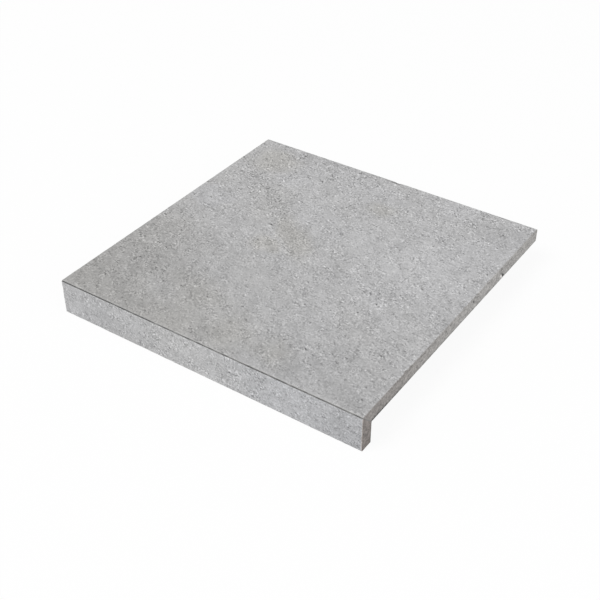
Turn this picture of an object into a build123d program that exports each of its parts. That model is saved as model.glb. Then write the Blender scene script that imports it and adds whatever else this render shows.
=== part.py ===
"""Edge tile: a square porcelain paving slab whose front edge is mitred and bonded to a drop strip.

Millimetres. X runs along the front edge, Y from the front to the back, Z up.
The origin is under the middle of the tile, level with the foot of the strip.
"""

import os
from math import sqrt

from build123d import *

# The tile as it is sold
tile_length = 450.0
tile_depth = 450.0
tile_thickness = 19.0
front_height = 50.0

# The bonded mitre on the front arris
glue_gap = 0.8
glue_recess = 0.6
tip_blunting = 1.0

# Eased arrises: the ground face edges, and the sawn edges at the back of the stock
face_bevel = 0.9
back_bevel = 0.5

# Pressed keys on the back of the stock, which grip the bedding
key_pitch = 25.0
key_rib = 5.0
key_depth = 0.9
key_draft = 30.0
key_border = 5.0

# Levels and planes that both pieces share
front_y = -tile_depth / 2
back_y = tile_depth / 2
strip_back_y = front_y + tile_thickness
top_z = front_height
bed_z = front_height - tile_thickness
glue_shift = glue_gap / sqrt(2)
mitre_length = tile_thickness * sqrt(2)
mitre_plane = Plane(
    origin=(0, front_y + tile_thickness / 2, top_z - tile_thickness / 2),
    x_dir=(1, 0, 0),
    z_dir=(0, 1, 1),
)


def key_run(span):
    """How many keys fit across a span of the stock's back inside its plain border, and how wide each is."""
    room = span - 2 * key_border
    count = max(1, int((room + key_rib) // key_pitch))
    return count, min(key_pitch - key_rib, room)


def key_grid(plane, length, height):
    """A centred grid of key outlines on the stock's back, as long and high as that face."""
    columns, key_width = key_run(length)
    rows, key_height = key_run(height)
    with BuildSketch(plane) as keys:
        with GridLocations(key_pitch, key_pitch, columns, rows):
            Rectangle(key_width, key_height)
    return keys.sketch


# Top slab: the walking face, with its front edge sawn to the mitre
bed_front_y = strip_back_y + glue_shift
bed_span = back_y - bed_front_y
bed_plane = Plane.XY.offset(bed_z).move(Location((0, (bed_front_y + back_y) / 2, 0)))

with BuildPart() as top_slab:
    with BuildSketch(Plane.XY.offset(bed_z)):
        Rectangle(tile_length, tile_depth)
    extrude(amount=tile_thickness)
    split(bisect_by=mitre_plane.offset(glue_gap / 2), keep=Keep.TOP)

    face_edges = top_slab.faces().sort_by(Axis.Z)[-1].edges().sort_by(Axis.Y)
    chamfer(face_edges[1:], face_bevel)
    mitre_tip = top_slab.faces().sort_by(Axis.Z)[-1].edges().sort_by(Axis.Y)[0]
    chamfer(mitre_tip, tip_blunting)
    bed_edges = top_slab.faces().sort_by(Axis.Z)[0].edges().sort_by(Axis.Y)
    chamfer(bed_edges[1:], back_bevel)
    keys = key_grid(bed_plane, tile_length, bed_span)
    extrude(keys, amount=key_depth, taper=key_draft, mode=Mode.SUBTRACT)

# Front strip: cut from the same stock, with its face outwards and its upper edge mitred
strip_back_top_z = bed_z - glue_shift
strip_back_plane = Plane(
    origin=(0, strip_back_y, strip_back_top_z / 2),
    x_dir=(1, 0, 0),
    z_dir=(0, -1, 0),
)

with BuildPart() as front_strip:
    with BuildSketch(Plane.XZ.offset(-front_y)):
        Rectangle(tile_length, front_height, align=(Align.CENTER, Align.MIN))
    extrude(amount=-tile_thickness)
    split(bisect_by=mitre_plane.offset(-glue_gap / 2), keep=Keep.BOTTOM)

    face_edges = front_strip.faces().sort_by(Axis.Y)[0].edges().sort_by(Axis.Z)
    chamfer(face_edges[:-1], face_bevel)
    mitre_tip = front_strip.faces().sort_by(Axis.Y)[0].edges().sort_by(Axis.Z)[-1]
    chamfer(mitre_tip, tip_blunting)
    back_edges = front_strip.faces().sort_by(Axis.Y)[-1].edges().sort_by(Axis.Z)
    chamfer(back_edges[:-1], back_bevel)
    keys = key_grid(strip_back_plane, tile_length, strip_back_top_z)
    extrude(keys, amount=key_depth, taper=key_draft, mode=Mode.SUBTRACT)

# Glue line: the epoxy that fills the mitre, wiped back behind the blunted tips and the ends
glue_start = tip_blunting + glue_gap / 2 + glue_recess

with BuildPart() as mitre_glue:
    with BuildSketch(mitre_plane):
        with Locations((0, glue_start / 2)):
            Rectangle(tile_length - 2 * glue_recess, mitre_length - glue_start)
    extrude(amount=glue_gap / 2, both=True)

os.makedirs("parts", exist_ok=True)
top_slab.part.label = "top_slab"
front_strip.part.label = "front_strip"
mitre_glue.part.label = "mitre_glue"
export_step(top_slab.part, "parts/top_slab.step")
export_step(front_strip.part, "parts/front_strip.step")
export_step(mitre_glue.part, "parts/mitre_glue.step")
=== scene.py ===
import math
import random

import bmesh
import bpy
import numpy as np
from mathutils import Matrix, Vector, noise


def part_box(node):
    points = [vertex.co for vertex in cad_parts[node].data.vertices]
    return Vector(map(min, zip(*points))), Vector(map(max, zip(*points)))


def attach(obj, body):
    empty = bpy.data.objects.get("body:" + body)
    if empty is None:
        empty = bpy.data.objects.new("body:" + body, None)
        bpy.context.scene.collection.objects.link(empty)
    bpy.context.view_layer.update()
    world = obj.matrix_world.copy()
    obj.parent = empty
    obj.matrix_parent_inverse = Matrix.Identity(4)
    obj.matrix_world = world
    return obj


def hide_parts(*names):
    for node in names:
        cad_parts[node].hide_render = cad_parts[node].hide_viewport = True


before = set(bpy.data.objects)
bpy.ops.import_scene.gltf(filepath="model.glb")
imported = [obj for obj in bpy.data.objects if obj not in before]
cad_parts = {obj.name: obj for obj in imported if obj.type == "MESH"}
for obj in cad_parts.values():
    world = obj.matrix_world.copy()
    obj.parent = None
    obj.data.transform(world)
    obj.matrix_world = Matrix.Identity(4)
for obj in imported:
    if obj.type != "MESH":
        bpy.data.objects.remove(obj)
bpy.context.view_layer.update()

MM = 0.001

# Main sizes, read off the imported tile
slab_low, slab_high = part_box("top_slab")
strip_low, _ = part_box("front_strip")
half_length = slab_high.x
front_y = strip_low.y
top_z = slab_high.z
thickness = top_z - slab_low.z
slab_run = slab_high.y - front_y
strip_run = top_z - strip_low.z

# The bonded mitre and the eased edges
glue_gap = 0.8 * MM
glue_recess = 0.6 * MM
glue_end_recess = 0.15 * MM
tip_blunting = 1.0 * MM
face_bevel = 0.9 * MM
back_bevel = 0.5 * MM
tip_wear = 0.22 * MM
least_wear = 0.35
glue_shift = glue_gap / math.sqrt(2)

# Pressed keys on the back of the stock
key_pitch = 25.0 * MM
key_half = 10.0 * MM
key_depth = 0.9 * MM
key_draft_run = key_depth * math.tan(math.radians(30))
key_softness = 0.16 * MM
key_columns = 17

# Pits: the painted shade in them, and the raised lip on their near side with a painted highlight, against
# the depth or width of the pit
pit_painted_shade = -1.95
lip_painted_highlight = 1.45
lip_rise = -0.4
lip_stretch = 1.8
lip_gap = 1.5
lip_rake = math.radians(-55)

# How far round a pit and a nick the mesh is divided, and how far behind its face a mark still reaches
pit_margin = 4.0
nick_margin = 2
mark_reach = 2 * MM

# A face with as many corners as this is a plain border of the back, which is never divided
border_corners = 12

# Faces of a board, in the order of its finishes
FACE, SAWN, BACK, MITRE = range(4)

# The colour sockets of a Mix node
MIX_SHARE, MIX_FIRST, MIX_SECOND = 0, 6, 7
MIX_RESULT = 2


class Value:
    """Something that varies over a surface: a socket whose arithmetic adds Math nodes."""

    def __init__(self, finish, socket):
        self.finish = finish
        self.socket = socket

    def maths(self, operation, first, second):
        return self.finish.node("ShaderNodeMath", {"operation": operation}, {0: first, 1: second})

    def __add__(self, other):
        return self.maths("ADD", self, other)

    __radd__ = __add__

    def __sub__(self, other):
        return self.maths("SUBTRACT", self, other)

    def __rsub__(self, other):
        return self.maths("SUBTRACT", other, self)

    def __mul__(self, other):
        return self.maths("MULTIPLY", self, other)

    __rmul__ = __mul__


class Nodes:
    """The nodes of a material, or of the sky."""

    def __init__(self, tree):
        self.tree = tree

    def node(self, kind, settings=None, sockets=None, out=0):
        """Adds a node, sets it, fills or links its sockets, and gives one of its outputs."""
        made = self.tree.nodes.new(kind)
        for name, setting in (settings or {}).items():
            setattr(made, name, setting)
        for name, value in (sockets or {}).items():
            self.put(made.inputs[name], value)
        return Value(self, made.outputs[out])

    def put(self, socket, value):
        if isinstance(value, Value):
            self.tree.links.new(value.socket, socket)
        else:
            socket.default_value = value


class Finish(Nodes):
    """One material, and the nodes that give it its colour, gloss and grain."""

    def __init__(self, name):
        self.material = bpy.data.materials.new(name)
        self.material.use_nodes = True
        super().__init__(self.material.node_tree)
        self.shader = self.tree.nodes["Principled BSDF"]
        self.place = self.node("ShaderNodeTexCoord", out="Object")

    def speckle(self, size, detail=0.0, seed=0.0, roughness=0.5, place=None):
        """Noise from about -1 to 1, with grains about as wide as size."""
        sockets = {"Vector": place or self.place, "W": seed, "Scale": 1 / size}
        sockets |= {"Detail": detail, "Roughness": roughness}
        return self.node("ShaderNodeTexNoise", {"noise_dimensions": "4D"}, sockets) * 2 - 1

    def between(self, value, low, high):
        """Goes smoothly from 0 to 1 as a value goes from low to high."""
        sockets = {"Value": value, "From Min": low, "From Max": high}
        return self.node("ShaderNodeMapRange", {"interpolation_type": "SMOOTHSTEP"}, sockets)

    def at_least(self, value, least):
        """A value that never falls below the least, so that no mark turns quite black."""
        return self.node("ShaderNodeMath", {"operation": "MAXIMUM"}, {0: value, 1: least})

    def wandering(self, size, reach, seed):
        """The place on the surface, pushed about by noise so that what follows it has ragged edges."""
        sockets = {"Vector": self.place, "W": seed, "Scale": 1 / size, "Detail": 3.0, "Roughness": 0.6}
        push = self.node("ShaderNodeTexNoise", {"noise_dimensions": "4D"}, sockets, out="Color")
        push = self.vectors("SUBTRACT", push, (0.5, 0.5, 0.5))
        return self.vectors("MULTIPLY_ADD", push, (reach, reach, reach), self.place)

    def brushed(self, place, turn, along, across):
        """A place on the surface, drawn out along one direction so that what follows it looks brushed."""
        sockets = {"Vector": place, "Rotation": (0, 0, math.radians(turn)), "Scale": (along, across, 1.0)}
        return self.node("ShaderNodeMapping", {"vector_type": "TEXTURE"}, sockets)

    def vectors(self, operation, *terms):
        return self.node("ShaderNodeVectorMath", {"operation": operation}, dict(enumerate(terms)))

    def cloud(self, place, centre, radii, turn):
        """A soft patch, 1 in the middle and 0 outside."""
        across = (radii[0] * MM, radii[1] * MM, 1.0)
        middle = (centre[0] * MM, centre[1] * MM, 0.0)
        turned = (0, 0, math.radians(turn))
        sockets = {"Vector": place, "Location": middle, "Rotation": turned, "Scale": across}
        local = self.node("ShaderNodeMapping", {"vector_type": "TEXTURE"}, sockets)
        distance = self.node("ShaderNodeVectorMath", {"operation": "LENGTH"}, {0: local}, out="Value")
        return self.between(distance, 1.0, 0.15)

    def mix(self, share, first, second):
        """A colour between two others."""
        sockets = {MIX_SHARE: share, MIX_FIRST: first, MIX_SECOND: second}
        return self.node("ShaderNodeMix", {"data_type": "RGBA"}, sockets, out=MIX_RESULT)

    def finish(self, colour, roughness, height, relief):
        """Joins colour, roughness and a bump of some height to the shader."""
        bump = self.node("ShaderNodeBump", None, {"Height": height, "Distance": relief})
        self.put(self.shader.inputs["Base Color"], colour)
        self.put(self.shader.inputs["Roughness"], roughness)
        self.put(self.shader.inputs["Normal"], bump)
        return self.material


# How far apart the heights are compared that shade the moulded texture, towards the light and across it
light_step = Vector((1.0, 1.3, 1.1)) * MM
cross_step = Vector((1.0, -1.3, -1.1)) * MM


def cast_relief(print_, step):
    """The height of the moulded texture a step away: lumps, fine grain, raised grits and small pocks."""
    place = print_.brushed(print_.vectors("ADD", print_.place, step), 130, 1.3, 0.88)
    lumps = print_.speckle(2.8 * MM, 0.0, 37.5, 0.5, place)
    grain = print_.speckle(1.8 * MM, 0.0, 41.5, 0.5, place)
    grits = print_.between(print_.speckle(2.3 * MM, 0.0, 53.5, 0.5, place), 0.30, 0.60)
    pocks = print_.between(print_.speckle(2.5 * MM, 0.0, 59.5, 0.5, place), 0.32, 0.62)
    return 0.70 * lumps + 1.00 * grain + 0.50 * grits - 0.30 * pocks


def printed_face(name, cool, warm, clouds):
    """The matt concrete-look print: soft brushed clouds and fine grain over a lightly moulded glaze, with
    the light and shade of the moulded grain painted into the colour.
    """
    print_ = Finish(name)
    place = print_.wandering(50 * MM, 0.06, 3.0)
    streaks = print_.brushed(print_.place, 143, 1.35, 0.85)
    back = print_.node("ShaderNodeSeparateXYZ", None, {0: print_.place}, out="Y")
    rough = 0.86 + 0.85 * back
    tone = 1.0 + 0.030 * print_.speckle(90 * MM, 2.0, 11.0, 0.5, streaks)
    warmth = 0.30 + 0.5 * print_.speckle(120 * MM, 2.0, 23.0, 0.5, streaks)
    for centre, radii, turn, lighter, warmer, rougher in clouds:
        patch = print_.cloud(place, centre, radii, turn)
        tone = tone + patch * lighter
        warmth = warmth + patch * warmer
        rough = rough + patch * rougher
    mottle = 0.10 * print_.speckle(30 * MM, 2.0, 29.5, 0.5, streaks)
    coarse = print_.speckle(14 * MM, 2.0, 31.5, 0.5, streaks)
    fine = print_.speckle(6 * MM, 1.0, 67.5, 0.5, streaks)
    patches = print_.between(print_.speckle(8 * MM, 2.0, 61.5, 0.5, streaks), -0.35, 0.50)
    grainy = 0.38 + 1.15 * patches
    height = cast_relief(print_, (0, 0, 0))
    lit = cast_relief(print_, light_step)
    shaded = cast_relief(print_, -light_step)
    beside = cast_relief(print_, cross_step) + cast_relief(print_, -cross_step)
    # Painted light and shade of the moulded grain: lighter where it rises towards a light at the front
    # left, darker where it falls away, with a sharpened rim; the bump adds shading of its own
    shading = rough * grainy * (0.276 * (lit - shaded) + 0.116 * (4 * height - lit - shaded - beside))
    # The mark from the mesh: painted shade and painted highlights of the pits, the nicks and the edges
    mark = print_.node("ShaderNodeAttribute", {"attribute_name": "mark"}, out="Fac")
    tone = tone + mottle + 0.22 * coarse + 0.07 * fine + shading + 0.2 * shading * shading + mark
    ground = print_.mix(print_.between(warmth, 0.0, 1.0), cool, warm)
    colour = print_.vectors("MULTIPLY", ground, print_.at_least(tone, 0.15))
    return print_.finish(colour, 0.76 + 0.06 * coarse, grainy * height, 0.45 * MM)


def sawn_body(name, near, far, dark_until):
    """The plain body where the stock is sawn: browner than the print, mottled, with fine saw lines."""
    body = Finish(name)
    back = body.node("ShaderNodeSeparateXYZ", None, {0: body.place}, out="Y")
    along = body.between(back + 0.012 * body.speckle(30 * MM, 2.0, 5.0), front_y, front_y + dark_until)
    tone = 1.0 + 0.12 * body.speckle(22 * MM, 3.0, 7.5) + 0.34 * body.speckle(6 * MM, 1.0, 8.5)
    tone = tone + 0.62 * body.speckle(3.0 * MM, 1.0, 9.5) + 0.40 * body.speckle(1.8 * MM, 0.0, 19.5)
    # The mark from the mesh: painted highlights and painted shade along the edges and in the nicks
    mark = body.node("ShaderNodeAttribute", {"attribute_name": "mark"}, out="Fac")
    colour = body.vectors("MULTIPLY", body.mix(along, near, far), body.at_least(tone + mark, 0.15))
    lines = body.node("ShaderNodeMapping", None, {"Vector": body.place, "Scale": (1.0, 0.06, 1.0)})
    sockets = {"Vector": lines, "Scale": 1100.0, "Detail": 1.0}
    saw = body.node("ShaderNodeTexNoise", None, sockets)
    height = saw * 0.6 + 0.4 * body.speckle(1.6 * MM, 1.0, 13.0)
    return body.finish(colour, 0.8 + 0.05 * body.speckle(5 * MM, 1.0, 17.0), height, 0.1 * MM)


def pressed_back(name):
    """The keyed back as it leaves the press: the plain body with a thin, streaky wash of kiln dust."""
    back = Finish(name)
    dust = back.between(back.speckle(28 * MM, 4.0, 3.0, 0.65), -0.25, 0.45)
    ground = back.mix(dust, (0.42, 0.40, 0.375, 1), (0.56, 0.55, 0.53, 1))
    tone = 1.0 + 0.08 * back.speckle(3 * MM, 2.0, 5.0) + 0.05 * back.speckle(60 * MM, 1.0, 7.0)
    height = 0.5 + 0.5 * back.speckle(1.8 * MM, 2.0, 9.0)
    return back.finish(back.vectors("MULTIPLY", ground, tone), 0.86 + 0.04 * dust, height, 0.15 * MM)


def cured_epoxy(name, dark, light):
    """Dark grey epoxy, uneven where it was wiped, and thicker towards the left end."""
    glue = Finish(name)
    thick = glue.cloud(glue.place, (-190, -225), (150, 120), 0)
    wiped = glue.between(glue.speckle(11 * MM, 3.0, 3.0) - 0.4 * thick, -0.35, 0.45)
    colour = glue.mix(wiped, dark, light)
    height = 0.5 + 0.5 * glue.speckle(1.2 * MM, 2.0, 5.0)
    return glue.finish(colour, 0.55 + 0.2 * wiped, height, 0.08 * MM)


def slab_place(u, v, w):
    """A point of the top slab: u along the front edge, v back from it, w down from the walking face."""
    return Vector((u, front_y + v, top_z - w))


def strip_place(u, v, w):
    """A point of the front strip: u along the front edge, v down from it, w back from the printed face."""
    return Vector((u, front_y + w, top_z - v))


def mitre_start(w):
    """Where a board begins behind the front arris, by depth: the blunted tip, then the mitre."""
    return max(w + glue_shift, glue_shift + tip_blunting - w * math.tan(math.pi / 8))


# The eased face edge, as shares of the bevel inwards and down
eased_edge = [(1.0, 0.0), (0.8, 0.05), (0.05, 0.8), (0.0, 1.0)]


def board_levels():
    """A board's outline from face to back, as inset and depth: eased face edge, wall, eased back edge."""
    levels = [(inset * face_bevel, depth * face_bevel) for inset, depth in eased_edge]
    levels += [(0.0, step * MM) for step in (2.6, 4.6, 6.8, 9.0, 11.2, 13.4, 15.6, 17.4)]
    return levels + [(0.0, thickness - back_bevel), (back_bevel, thickness)]


def outline_cells(cells_u, cells_v):
    """The grid points round a board's face, once round."""
    front = [(i, 0) for i in range(cells_u)]
    right = [(cells_u, j) for j in range(cells_v)]
    back = [(i, cells_v) for i in range(cells_u, 0, -1)]
    left = [(0, j) for j in range(cells_v, 0, -1)]
    return front + right + back + left


def wear(u, v, seed, bites):
    """How far an arris is worn, against its drawn bevel: uneven everywhere, and more at a bite."""
    spot = Vector((u / (9 * MM), v / (9 * MM), seed))
    fine = Vector((u / (2.6 * MM), v / (2.6 * MM), seed + 5))
    share = 1.0 + 0.30 * noise.noise(spot) + 0.25 * noise.noise(fine)
    for bite_u, bite_v, length, size in bites:
        away = ((u - bite_u * MM) ** 2 + (v - bite_v * MM) ** 2) / (length * MM) ** 2
        share += size * math.exp(-away)
    return max(share, least_wear)


def board_shell(bm, place, run, cells, seed, bites):
    """The face and the four walls of a board. Gives its rings of points, from the face to the back."""
    cells_u, cells_v = cells
    rings = []
    for number, (inset, depth) in enumerate(board_levels()):
        ring = {}
        for i, j in outline_cells(cells_u, cells_v):
            worn = 1.0
            if number < len(eased_edge):
                rough_u = half_length * (2 * i / cells_u - 1)
                rough_v = run * j / cells_v
                worn = wear(rough_u, rough_v, seed, bites)
            reach = half_length - inset * worn
            start = mitre_start(depth * worn)
            if depth < tip_blunting and j == 0:
                start += tip_wear * (worn - 1.0)
            end = run - inset * worn
            u = reach * (2 * i / cells_u - 1)
            v = start + (end - start) * j / cells_v
            ring[i, j] = bm.verts.new(place(u, v, depth * worn))
        rings.append(ring)
    grid = dict(rings[0])
    reach = half_length - face_bevel
    for i in range(1, cells_u):
        for j in range(1, cells_v):
            u = reach * (2 * i / cells_u - 1)
            v = mitre_start(0) + (run - face_bevel - mitre_start(0)) * j / cells_v
            grid[i, j] = bm.verts.new(place(u, v, 0.0))
    for i in range(cells_u):
        for j in range(cells_v):
            corners = [grid[i, j], grid[i + 1, j], grid[i + 1, j + 1], grid[i, j + 1]]
            bm.faces.new(corners).material_index = FACE
    around = outline_cells(cells_u, cells_v)
    for upper, lower in zip(rings, rings[1:]):
        for here, there in zip(around, around[1:] + around[:1]):
            wall = bm.faces.new([upper[there], upper[here], lower[here], lower[there]])
            wall.material_index = MITRE if here[1] == there[1] == 0 else SAWN
    return rings


def key_lines(middle, count, low, high):
    """Where the ribs of the back begin and end along one direction, with a line in each plain border."""
    lines = []
    for number in range(count):
        centre = middle + (number - (count - 1) / 2) * key_pitch
        lines += [centre - key_half, centre + key_half]
    return [(low + lines[0]) / 2] + lines + [(lines[-1] + high) / 2]


def keyed_back(bm, place, run, cells, ring, rows):
    """The back of a board: a plain border, ribs, and a grid of drafted keys with soft rims."""
    cells_u, cells_v = cells
    bed_start = mitre_start(thickness)
    reach = half_length - back_bevel
    lines_u = key_lines(0.0, key_columns, -reach, reach)
    lines_v = key_lines((bed_start + run) / 2, rows, bed_start, run - back_bevel)
    last_u = len(lines_u) - 1
    last_v = len(lines_v) - 1
    grid = {}
    for a, u in enumerate(lines_u):
        for b, v in enumerate(lines_v):
            grid[a, b] = bm.verts.new(place(u, v, thickness))
    keys = []
    for a in range(last_u):
        for b in range(last_v):
            cell = bm.faces.new([grid[a, b], grid[a, b + 1], grid[a + 1, b + 1], grid[a + 1, b]])
            cell.material_index = BACK
            if a % 2 and b % 2:
                keys.append(cell)
    across = range(last_u + 1)
    onward = range(last_v + 1)
    borders = [
        ([ring[i, 0] for i in range(cells_u + 1)], [grid[a, 0] for a in across]),
        ([ring[cells_u, j] for j in range(cells_v + 1)], [grid[last_u, b] for b in onward]),
        ([ring[i, cells_v] for i in range(cells_u, -1, -1)], [grid[a, last_v] for a in across[::-1]]),
        ([ring[0, j] for j in range(cells_v, -1, -1)], [grid[0, b] for b in onward[::-1]]),
    ]
    for outer, inner in borders:
        bm.faces.new(outer + inner[::-1]).material_index = BACK
    drafted = bmesh.ops.inset_individual(bm, faces=keys, thickness=key_draft_run, use_even_offset=True)
    walls = drafted["faces"]
    rise = (place(0, 0, 0) - place(0, 0, 1)) * key_depth
    for key in keys:
        for corner in key.verts:
            corner.co += rise
    slopes = set(walls)
    soft = {edge for wall in walls for edge in wall.edges if not slopes.issuperset(edge.link_faces)}
    bmesh.ops.bevel(bm, geom=list(soft), offset=key_softness, segments=2, profile=0.5, affect="EDGES")


def refine(bm, spots, rounds):
    """Divides the faces round each spot, so that its shape has points enough."""
    for _ in range(rounds):
        faces = list(bm.faces)
        middles = np.array([face.calc_center_median() for face in faces])
        near = np.zeros(len(faces), bool)
        for centre, reach in spots:
            near |= ((middles - np.array(centre)) ** 2).sum(1) < reach ** 2
        chosen = [face for face, hit in zip(faces, near) if hit and len(face.verts) < border_corners]
        edges = {edge for face in chosen for edge in face.edges}
        bmesh.ops.subdivide_edges(bm, edges=list(edges), cuts=1, use_grid_fill=True)


class Surface:
    """The points of a board while its marks are pressed into it."""

    def __init__(self, bm):
        self.points = np.array([vert.co for vert in bm.verts])
        self.marks = np.zeros(len(self.points))

    def press(self, centre, inward, along, half_long, half_wide, depth, shade):
        """A rounded dent, or a rise where depth is negative, with painted shade on it where the shade is
        negative and a painted highlight where it is positive.
        """
        offset = self.points - np.array(centre)
        across = np.cross(inward, along)
        spread = (offset @ along / half_long) ** 2 + (offset @ across / half_wide) ** 2
        near = (spread < 1) & (np.abs(offset @ inward) < mark_reach)
        share = (1 - spread[near]) ** 2
        self.points[near] += np.outer(share * depth, inward)
        self.marks[near] += shade * share

    def ripple(self, inward, faced, amount, size, seed):
        """Gentle unevenness of the printed face."""
        for number in np.flatnonzero(faced):
            spot = Vector(self.points[number] / size) + Vector((0, 0, seed))
            self.points[number] += inward * (amount * noise.fractal(spot, 0.7, 2.0, 4))

    def store(self, bm):
        for vert, point in zip(bm.verts, self.points):
            vert.co = point


def pits(seed, count, reach_u, low_v, high_v, chosen):
    """Pits of a printed face, each as in the lists below: the chosen ones, then scattered small ones."""
    dice = random.Random(seed)
    found = list(chosen)
    for _ in range(count):
        half_long = dice.uniform(1.2, 2.0)
        found.append((
            dice.uniform(-reach_u, reach_u),
            dice.uniform(low_v, high_v),
            half_long,
            half_long * dice.uniform(0.5, 0.9),
            dice.uniform(0, 180),
            dice.uniform(0.10, 0.24),
        ))
    return found


def edge_tones(surface, depth, along, tones, fade):
    """Painted highlights and painted shade along the edges of the sawn ends: tones by depth, less at the
    far end.
    """
    ends = np.flatnonzero(np.abs(surface.points[:, 0]) > half_length - 1.4 * face_bevel)
    depths = [deep * MM for deep, _ in tones]
    changes = np.interp(depth[ends], depths, [tone for _, tone in tones])
    for number, change in zip(ends, changes):
        uneven = 0.8 + 0.7 * noise.noise(Vector(surface.points[number] / (7 * MM)))
        surface.marks[number] += change * uneven * max(1 - fade * along[number], 0)


def painted_arris_highlight(surface, depth, back, lighter):
    """A painted highlight: a lighter line on the printed face, close to the bonded arris."""
    highlight_start = 1.5 * MM
    highlight_width = 3.0 * MM
    nearness = np.clip(1 - (back - highlight_start) / highlight_width, 0, 1)
    surface.marks += np.where(depth < 0.05 * MM, lighter * nearness, 0)


def stock_board(name, place, run, cells, rows, seed, bites, pit_list, nicks, tones, arris_highlight_level, finishes):
    """One board of the stock, with its worn edges, pits and nicks, and with painted light and shade along
    its edges and in its pits and nicks.
    """
    bm = bmesh.new()
    rings = board_shell(bm, place, run, cells, seed, bites)
    keyed_back(bm, place, run, cells, rings[-1], rows)
    right = np.array(place(1, 0, 0) - place(0, 0, 0))
    onward = np.array(place(0, 1, 0) - place(0, 0, 0))
    inward = np.array(place(0, 0, 1) - place(0, 0, 0))
    spots = [(place(u * MM, v * MM, 0), (long + pit_margin) * MM) for u, v, long, *_ in pit_list]
    spots += [(place(half_length, v * MM, w * MM), (long + nick_margin) * MM) for v, w, long, *_ in nicks]
    refine(bm, spots, rounds=2)
    bmesh.ops.recalc_face_normals(bm, faces=bm.faces)
    bm.verts.ensure_lookup_table()
    surface = Surface(bm)
    depth = (surface.points - np.array(place(0, 0, 0))) @ inward
    share_back = (surface.points - np.array(place(0, 0, 0))) @ onward / run
    for changes, fade in tones:
        edge_tones(surface, depth, share_back, changes, fade)
    painted_arris_highlight(surface, depth, share_back * run, arris_highlight_level)
    surface.ripple(inward, depth < 0.01 * MM, amount=0.14 * MM, size=38 * MM, seed=seed)
    raked = right * math.cos(lip_rake) + onward * math.sin(lip_rake)
    # Painted shade in each pit and a painted highlight on its raised lip; a grit of negative depth gets
    # the painted highlight on itself and the painted shade on the small dent in front of it
    for u, v, half_long, half_wide, turn, deep in pit_list:
        angle = math.radians(turn)
        along = right * math.cos(angle) + onward * math.sin(angle)
        hole = np.array(place(u * MM, v * MM, 0))
        lip = hole - onward * (half_wide + lip_gap) * MM
        lip_long = lip_stretch * half_wide * MM
        surface.press(hole, inward, along, half_long * MM, half_wide * MM, deep * MM, pit_painted_shade * deep)
        surface.press(lip, inward, raked, lip_long, half_wide * MM, lip_rise * deep * MM, lip_painted_highlight * deep)
    for v, w, half_long, half_wide, turn, deep, shade in nicks:
        angle = math.radians(turn)
        along = onward * math.cos(angle) + inward * math.sin(angle)
        hole = np.array(place(half_length, v * MM, w * MM))
        surface.press(hole, -right, along, half_long * MM, half_wide * MM, deep * MM, shade)
    surface.store(bm)
    mesh = bpy.data.meshes.new(name)
    bm.to_mesh(mesh)
    bm.free()
    mesh.attributes.new("mark", "FLOAT", "POINT").data.foreach_set("value", surface.marks)
    return placed(name, mesh, finishes, 32)


def placed(name, mesh, finishes, sharp_from):
    """Puts a finished mesh in the scene as a piece of the tile."""
    mesh.shade_smooth()
    mesh.set_sharp_from_angle(angle=math.radians(sharp_from))
    for finish in finishes:
        mesh.materials.append(finish)
    piece = bpy.data.objects.new(name, mesh)
    bpy.context.scene.collection.objects.link(piece)
    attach(piece, "root")
    return piece


def glue_line(name, finish):
    """The epoxy in the mitre: a thin sheet with a hollow outer edge, wiped back unevenly."""
    bm = bmesh.new()
    steps = 300
    mitre_length = thickness * math.sqrt(2)
    half_gap = glue_gap / 2
    start = tip_blunting + half_gap + glue_recess
    reach = half_length - glue_end_recess
    hollow = 0.2 * MM
    bulge = 0.15 * MM
    rows = []
    for step in range(steps + 1):
        u = reach * (2 * step / steps - 1)
        wiped = 0.3 * MM * noise.noise(Vector((u / (11 * MM), 1.7, 0)))
        oozed = 0.25 * MM * noise.noise(Vector((u / (17 * MM), 8.2, 0)))
        outer = start + wiped
        inner = mitre_length + oozed
        profile = [(outer, -1.0), (outer + hollow, -0.45), (outer + hollow, 0.45), (outer, 1.0)]
        profile += [(inner, 1.0), (inner + bulge, 0.0), (inner, -1.0)]
        row = []
        for down, side in profile:
            y = front_y + (down + side * half_gap) / math.sqrt(2)
            z = top_z - (down - side * half_gap) / math.sqrt(2)
            row.append(bm.verts.new((u, y, z)))
        rows.append(row)
    for first, second in zip(rows, rows[1:]):
        for number in range(len(first)):
            after = (number + 1) % len(first)
            bm.faces.new([first[number], first[after], second[after], second[number]])
    bm.faces.new(rows[0])
    bm.faces.new(rows[-1][::-1])
    bmesh.ops.recalc_face_normals(bm, faces=bm.faces)
    mesh = bpy.data.meshes.new(name)
    bm.to_mesh(mesh)
    bm.free()
    return placed(name, mesh, [finish], 40)
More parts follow.
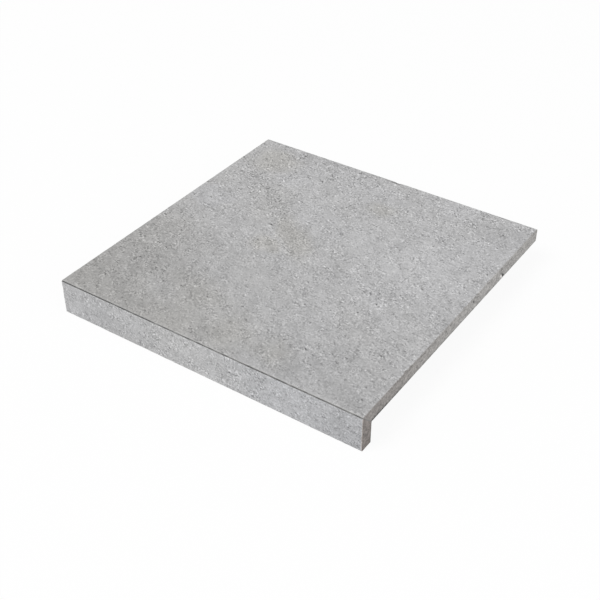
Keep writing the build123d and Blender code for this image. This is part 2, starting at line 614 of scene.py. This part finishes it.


# Soft clouds in the prints: centre, radii, turn, change of tone, warmth, roughness. The broad first cloud,
# lighter over the back, and the darker bands along the front at (30, -215) and (150, -180) are painted
# light and shade, a change of brightness from front to back
slab_clouds = [
    ((30, 150), (360, 200), 0, 0.055, -0.10, 0.0),
    ((150, 40), (130, 110), 0, 0.065, -0.10, 0.0),
    ((105, 210), (58, 38), 0, 0.090, -0.20, 0.0),
    ((-190, -160), (115, 160), 20, -0.190, 0.42, 0.0),
    ((-128, -100), (140, 62), -41, -0.105, 0.05, 0.0),
    ((-205, -45), (60, 45), 0, -0.075, 0.10, 0.0),
    ((-75, -205), (115, 55), 0, -0.095, 0.30, -0.1),
    ((-65, -145), (80, 48), -15, -0.085, 0.30, 0.0),
    ((-178, 172), (50, 50), 0, -0.040, 0.80, 0.0),
    ((-210, 205), (45, 45), 0, 0.060, 0.00, -0.2),
    ((-125, 92), (110, 45), -42, -0.075, 0.15, 0.30),
    ((-38, 26), (80, 28), -45, -0.095, 0.75, 0.0),
    ((-62, -12), (38, 26), 0, -0.050, 0.75, 0.0),
    ((-125, 145), (36, 26), -20, 0.070, -0.20, 0.0),
    ((25, 62), (150, 45), -28, 0.030, -0.10, -0.2),
    ((-195, 45), (48, 32), 0, 0.055, -0.60, 0.0),
    ((25, 145), (34, 28), 0, -0.060, 0.60, 0.0),
    ((140, -20), (45, 38), 0, -0.050, -0.10, 0.45),
    ((222, -35), (22, 34), 0, -0.075, 0.00, 0.0),
    ((178, 100), (42, 85), -30, 0.030, -0.40, -0.2),
    ((205, 185), (38, 42), 0, -0.050, 0.00, 0.0),
    ((120, 135), (32, 36), 0, -0.045, 0.00, 0.0),
    ((30, -215), (290, 60), 0, -0.050, 0.00, 0.0),
    ((150, -180), (115, 62), 0, -0.065, 0.00, 0.0),
    ((22, -185), (60, 55), 0, -0.075, 0.45, 0.0),
    ((82, -190), (40, 34), 0, -0.040, 0.45, 0.0),
    ((-30, -85), (110, 55), -30, -0.040, 0.00, -0.25),
    ((-5, 190), (42, 45), 0, 0.055, 0.00, 0.0),
    ((108, -38), (52, 48), 0, 0.060, 0.00, 0.0),
    ((208, -205), (50, 36), 0, -0.085, 0.00, 0.0),
    ((-90, 195), (120, 50), 0, -0.020, 0.00, 0.3),
    ((-180, -75), (75, 75), 0, 0.000, 0.00, 0.1),
    ((-150, -148), (42, 38), 0, -0.060, 0.10, 0.0),
    ((-108, -48), (42, 30), 0, -0.050, -0.10, 0.0),
    ((104, 5), (34, 30), 0, 0.050, 0.00, 0.0),
    ((104, -188), (48, 40), 0, -0.050, 0.00, 0.0),
]
strip_clouds = [
    ((-160, -225), (45, 60), 0, -0.045, 0.0, 0.0),
    ((0, -225), (330, 60), 0, 0.0, 0.25, 0.3),
    ((0, -225), (75, 60), 0, 0.055, 0.0, 0.0),
    ((190, -225), (150, 60), 0, 0.0, -0.65, 0.0),
    ((212, -225), (55, 60), 0, -0.100, 0.0, 0.0),
]

# Pits, and raised grits of negative depth: along, back or down, half length, half width, turn, depth
slab_pits = [
    (134, 418, 2.6, 2.4, 20, 0.45),
    (-80, 256, 6.5, 3.0, 0, 0.42),
    (108, 62, 4.5, 1.7, -35, 0.40),
    (121, 156, 2.2, 1.9, 10, 0.44),
    (133, 352, 2.6, 2.2, 0, 0.42),
    (206, 436, 2.6, 2.2, -60, 0.42),
    (-52, 441, 4.5, 2.4, 5, 0.46),
    (6, 447, 9.0, 3.4, 2, 0.42),
    (162, 242, 3.6, 1.8, -50, 0.38),
    (216, 316, 3.4, 1.8, -65, 0.42),
    (148, 353, 2.4, 2.0, 0, 0.34),
    (-173, 176, 2.6, 1.9, -30, 0.36),
    (-204, 137, 2.8, 1.8, -20, 0.34),
    (-211, 136, 2.4, 1.6, -20, 0.26),
    (179, 261, 2.6, 1.8, -60, 0.36),
    (36, 174, 3.0, 1.7, -40, 0.34),
    (-169, 410, 2.8, 1.9, -25, 0.36),
    (-177, 96, 2.4, 1.6, 15, 0.30),
    (147, 215, 3.0, 2.0, -80, 0.36),
    (-19, 351, 2.4, 2.0, 0, 0.34),
    (90, 304, 2.6, 1.8, -20, 0.32),
    (-154, 335, 2.8, 1.8, -60, 0.30),
    (129, 397, 4.0, 1.8, -60, 0.36),
    (119, 416, 2.4, 1.8, -30, 0.30),
    (66, 414, 4.0, 1.8, -55, 0.30),
    (200, 378, 2.4, 2.0, -30, 0.30),
    (146, 203, 2.8, 2.0, 0, 0.30),
    (114, 197, 5.0, 1.8, -50, 0.30),
    (132, 182, 3.0, 1.6, -40, 0.32),
    (187, 101, 4.0, 1.8, -55, 0.30),
    (128, 42, 2.8, 1.8, -30, 0.30),
    (201, 45, 3.0, 1.7, -50, 0.28),
    (58, 133, 2.0, 1.8, 0, 0.30),
    (-92, 77, 3.0, 1.8, -45, 0.34),
    (-147, 187, 2.0, 1.8, 0, 0.30),
    (-163, 133, 3.6, 2.0, -45, 0.34),
    (-48, 403, 3.4, 2.0, -40, 0.30),
    (-178, 428, 3.0, 1.8, -30, 0.30),
    (-141, 298, 3.0, 2.0, -40, 0.34),
    (-97, 295, 2.6, 1.8, 0, 0.28),
    (-193, 266, 3.2, 2.6, 0, 0.26),
    (-216, 195, 3.0, 2.0, -40, 0.32),
    (-22, 24, 2.4, 1.8, -20, 0.28),
    (208, 25, 3.6, 2.0, -30, 0.30),
    (-112, 397, 2.4, 2.2, 0, -0.30),
    (-26, 373, 4.0, 1.7, -50, -0.30),
    (-132, 406, 3.6, 1.6, -50, -0.24),
    (-21, 308, 2.6, 1.7, -45, -0.26),
    (105, 149, 2.2, 1.8, 0, -0.26),
    (52, 77, 3.6, 1.8, -45, -0.24),
    (172, 382, 2.6, 1.7, -45, -0.24),
    (-13, 107, 3.0, 1.8, -50, -0.22),
]
strip_pits = [
    (-20, 11, 2.4, 2.0, 60, 0.28),
    (-16, 17, 2.2, 1.8, 60, 0.26),
    (-11, 11, 2.8, 1.8, 60, -0.26),
    (-5, 10, 2.4, 1.8, 60, 0.26),
    (190, 33, 3.0, 1.8, 20, 0.22),
    (42, 24, 3.0, 1.8, 60, 0.26),
    (75, 44, 3.4, 1.8, 30, 0.26),
]

# Bites in the face edges: along, back or down, length, how much worse than the drawn bevel
slab_bites = [
    (225, 92, 3.5, 1.3),
    (225, 104, 3.0, 1.0),
    (225, 238, 3.0, 1.1),
    (8, 450, 4.0, 1.4),
    (225, 300, 5.0, 0.7),
]
strip_bites = [(225, 30, 3.0, 0.7), (-225, 12, 3.0, 0.6)]

# Nicks in the right-hand end: back, behind the face, half length, half width, turn, depth, shade; the
# shade is painted shade in a nick where negative and a painted highlight where positive
slab_nicks = [
    (346, 14.0, 10.0, 2.4, 43, 0.6, -0.95),
    (347, 15.5, 4.5, 3.0, 43, 0.4, -0.45),
    (341, 13.5, 8.0, 2.6, 43, -0.12, 1.10),
    (341, 3.0, 8.0, 1.8, 9, 0.1, -0.45),
    (357, 5.5, 9.0, 1.8, 9, 0.1, -0.45),
    (262, 5.5, 5.5, 2.6, 60, 0.5, -0.90),
    (266, 13.5, 6.0, 2.6, 60, -0.1, 0.38),
    (255, 8.0, 5.0, 2.4, 60, -0.1, 0.25),
    (190, 6.0, 4.0, 2.4, 75, 0.3, -0.30),
    (120, 13.0, 4.5, 2.2, 55, 0.3, -0.28),
    (405, 6.5, 4.0, 2.4, 40, 0.3, -0.35),
    (372, 5.0, 5.0, 2.0, 25, 0.2, -0.30),
    (362, 12.5, 4.5, 2.2, 61, 0.2, -0.30),
    (385, 13.5, 4.0, 2.2, 40, 0.2, -0.28),
]

# Changes of tone on the sawn ends by depth behind the face: a painted highlight at the strip's bevel,
# painted shade just behind the bevel, and painted shade along the back edge
slab_edge_tones = [(0.0, 0.0), (0.5, -0.05), (1.2, -0.16), (2.6, -0.12), (4.6, 0.03), (15.0, 0.03)]
slab_edge_tones += [(17.2, -0.25), (18.5, -0.55), (19.0, -0.60)]
# Painted shade along the back edge of the slab's end, strongest near the front corner
slab_corner_painted_shade = [(0.0, 0.0), (13.4, 0.0), (15.6, -0.36), (17.4, -0.85), (19.0, -0.90)]
strip_edge_tones = [(0.0, 0.22), (0.04, 1.2), (0.7, -0.15), (1.2, -0.35), (2.6, -0.25), (4.6, 0.0)]
strip_edge_tones += [(15.6, 0.0), (17.4, -0.20), (18.5, -0.45)]

# Colours of the prints
walking_cool = (0.442, 0.441, 0.446, 1)
walking_warm = (0.448, 0.441, 0.428, 1)
front_cool = (0.459, 0.461, 0.473, 1)
front_warm = (0.464, 0.462, 0.461, 1)

walking_print = printed_face("walking_face_print", walking_cool, walking_warm, slab_clouds)
front_print = printed_face("front_face_print", front_cool, front_warm, strip_clouds)
slab_body = sawn_body("sawn_slab_body", (0.292, 0.274, 0.262, 1), (0.398, 0.388, 0.376, 1), 0.26)
strip_body = sawn_body("sawn_strip_body", (0.235, 0.211, 0.198, 1), (0.242, 0.218, 0.205, 1), 0.02)
back_body = pressed_back("pressed_back_body")
epoxy = cured_epoxy("cured_epoxy", (0.095, 0.095, 0.094, 1), (0.26, 0.259, 0.255, 1))
slab_mitre = cured_epoxy("epoxy_smeared_slab_mitre", (0.36, 0.358, 0.352, 1), (0.52, 0.518, 0.51, 1))
strip_mitre = cured_epoxy("epoxy_smeared_strip_mitre", (0.10, 0.10, 0.098, 1), (0.25, 0.249, 0.245, 1))

slab = stock_board(
    "slab",
    slab_place,
    slab_run,
    cells=(180, 179),
    rows=17,
    seed=2.0,
    bites=slab_bites,
    pit_list=pits(seed=19, count=40, reach_u=215, low_v=8, high_v=440, chosen=slab_pits),
    nicks=slab_nicks,
    tones=[(slab_edge_tones, 0.6), (slab_corner_painted_shade, 3.5)],
    arris_highlight_level=0.12,
    finishes=[walking_print, slab_body, back_body, slab_mitre],
)
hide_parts("top_slab")

strip = stock_board(
    "drop_strip",
    strip_place,
    strip_run,
    cells=(300, 32),
    rows=1,
    seed=6.0,
    bites=strip_bites,
    pit_list=pits(seed=29, count=18, reach_u=215, low_v=6, high_v=45, chosen=strip_pits),
    nicks=[],
    tones=[(strip_edge_tones, 0.0)],
    arris_highlight_level=0.11,
    finishes=[front_print, strip_body, back_body, strip_mitre],
)
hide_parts("front_strip")

glue = glue_line("glue_line", epoxy)
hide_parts("mitre_glue")


def seen_rays(nodes):
    """1 for the rays that show the background: straight from the camera, in gloss and through glass."""
    camera = nodes.node("ShaderNodeLightPath", out="Is Camera Ray")
    gloss = nodes.node("ShaderNodeLightPath", out="Is Glossy Ray")
    clear = nodes.node("ShaderNodeLightPath", out="Is Transmission Ray")
    return camera + gloss + clear


def white_floor():
    """A plain white floor that keeps a soft shadow, and that hides nothing from below."""
    bpy.ops.mesh.primitive_plane_add(size=8.0, location=(0, 0, 0))
    floor = bpy.context.object
    floor.name = "floor"
    paint = Finish("floor_paint")
    under = paint.node("ShaderNodeNewGeometry", out="Backfacing")
    matt = paint.node("ShaderNodeBsdfDiffuse", None, {"Color": (0.93, 0.93, 0.93, 1)})
    white = paint.node("ShaderNodeEmission", None, {"Color": (1, 1, 1, 1), "Strength": 1.0})
    seen = paint.node("ShaderNodeMixShader", None, {0: seen_rays(paint) * 0.93, 1: matt, 2: white})
    gone = paint.node("ShaderNodeBsdfTransparent")
    both = paint.node("ShaderNodeMixShader", None, {0: under, 1: seen, 2: gone})
    output = paint.tree.nodes["Material Output"]
    paint.put(output.inputs["Surface"], both)
    paint.tree.nodes.remove(paint.shader)
    floor.data.materials.append(paint.material)


def white_sky(strength):
    """Even light from all round, which the camera sees as white."""
    world = bpy.data.worlds.new("studio")
    bpy.context.scene.world = world
    world.use_nodes = True
    sky = Nodes(world.node_tree)
    light = sky.node("ShaderNodeBackground", None, {"Color": (1, 1, 1, 1), "Strength": strength})
    white = sky.node("ShaderNodeBackground", None, {"Color": (1, 1, 1, 1), "Strength": 1.0})
    both = sky.node("ShaderNodeMixShader", None, {0: seen_rays(sky), 1: light, 2: white})
    sky.put(sky.tree.nodes["World Output"].inputs["Surface"], both)


def soft_box(name, direction, distance, size, level):
    """A square soft light that gives a white surface facing it this level of brightness."""
    lamp = bpy.data.lights.new(name, "AREA")
    lamp.size = size
    lamp.energy = level * math.pi ** 2 * distance ** 2
    holder = bpy.data.objects.new(name, lamp)
    toward = Vector(direction).normalized()
    holder.location = toward * distance
    holder.rotation_euler = toward.to_track_quat("Z", "Y").to_euler()
    bpy.context.scene.collection.objects.link(holder)


def photo_camera():
    """The camera at the photo's place and angle."""
    lens = bpy.data.cameras.new("camera")
    lens.sensor_width = 36.0
    lens.lens = 63.92
    holder = bpy.data.objects.new("camera", lens)
    holder.location = (0.6422, -0.9564, 0.8454)
    holder.rotation_euler = Vector((-0.4501, 0.6584, -0.6032)).to_track_quat("-Z", "Y").to_euler()
    bpy.context.scene.collection.objects.link(holder)
    bpy.context.scene.camera = holder


white_floor()
white_sky(0.42)
soft_box("front_left_light", (-0.27, -0.48, 0.835), 8.0, 4.0, 0.62)
soft_box("right_fill_light", (0.90, -0.10, 0.42), 3.0, 2.0, 0.20)
photo_camera()
bpy.context.scene.view_settings.view_transform = "Standard"
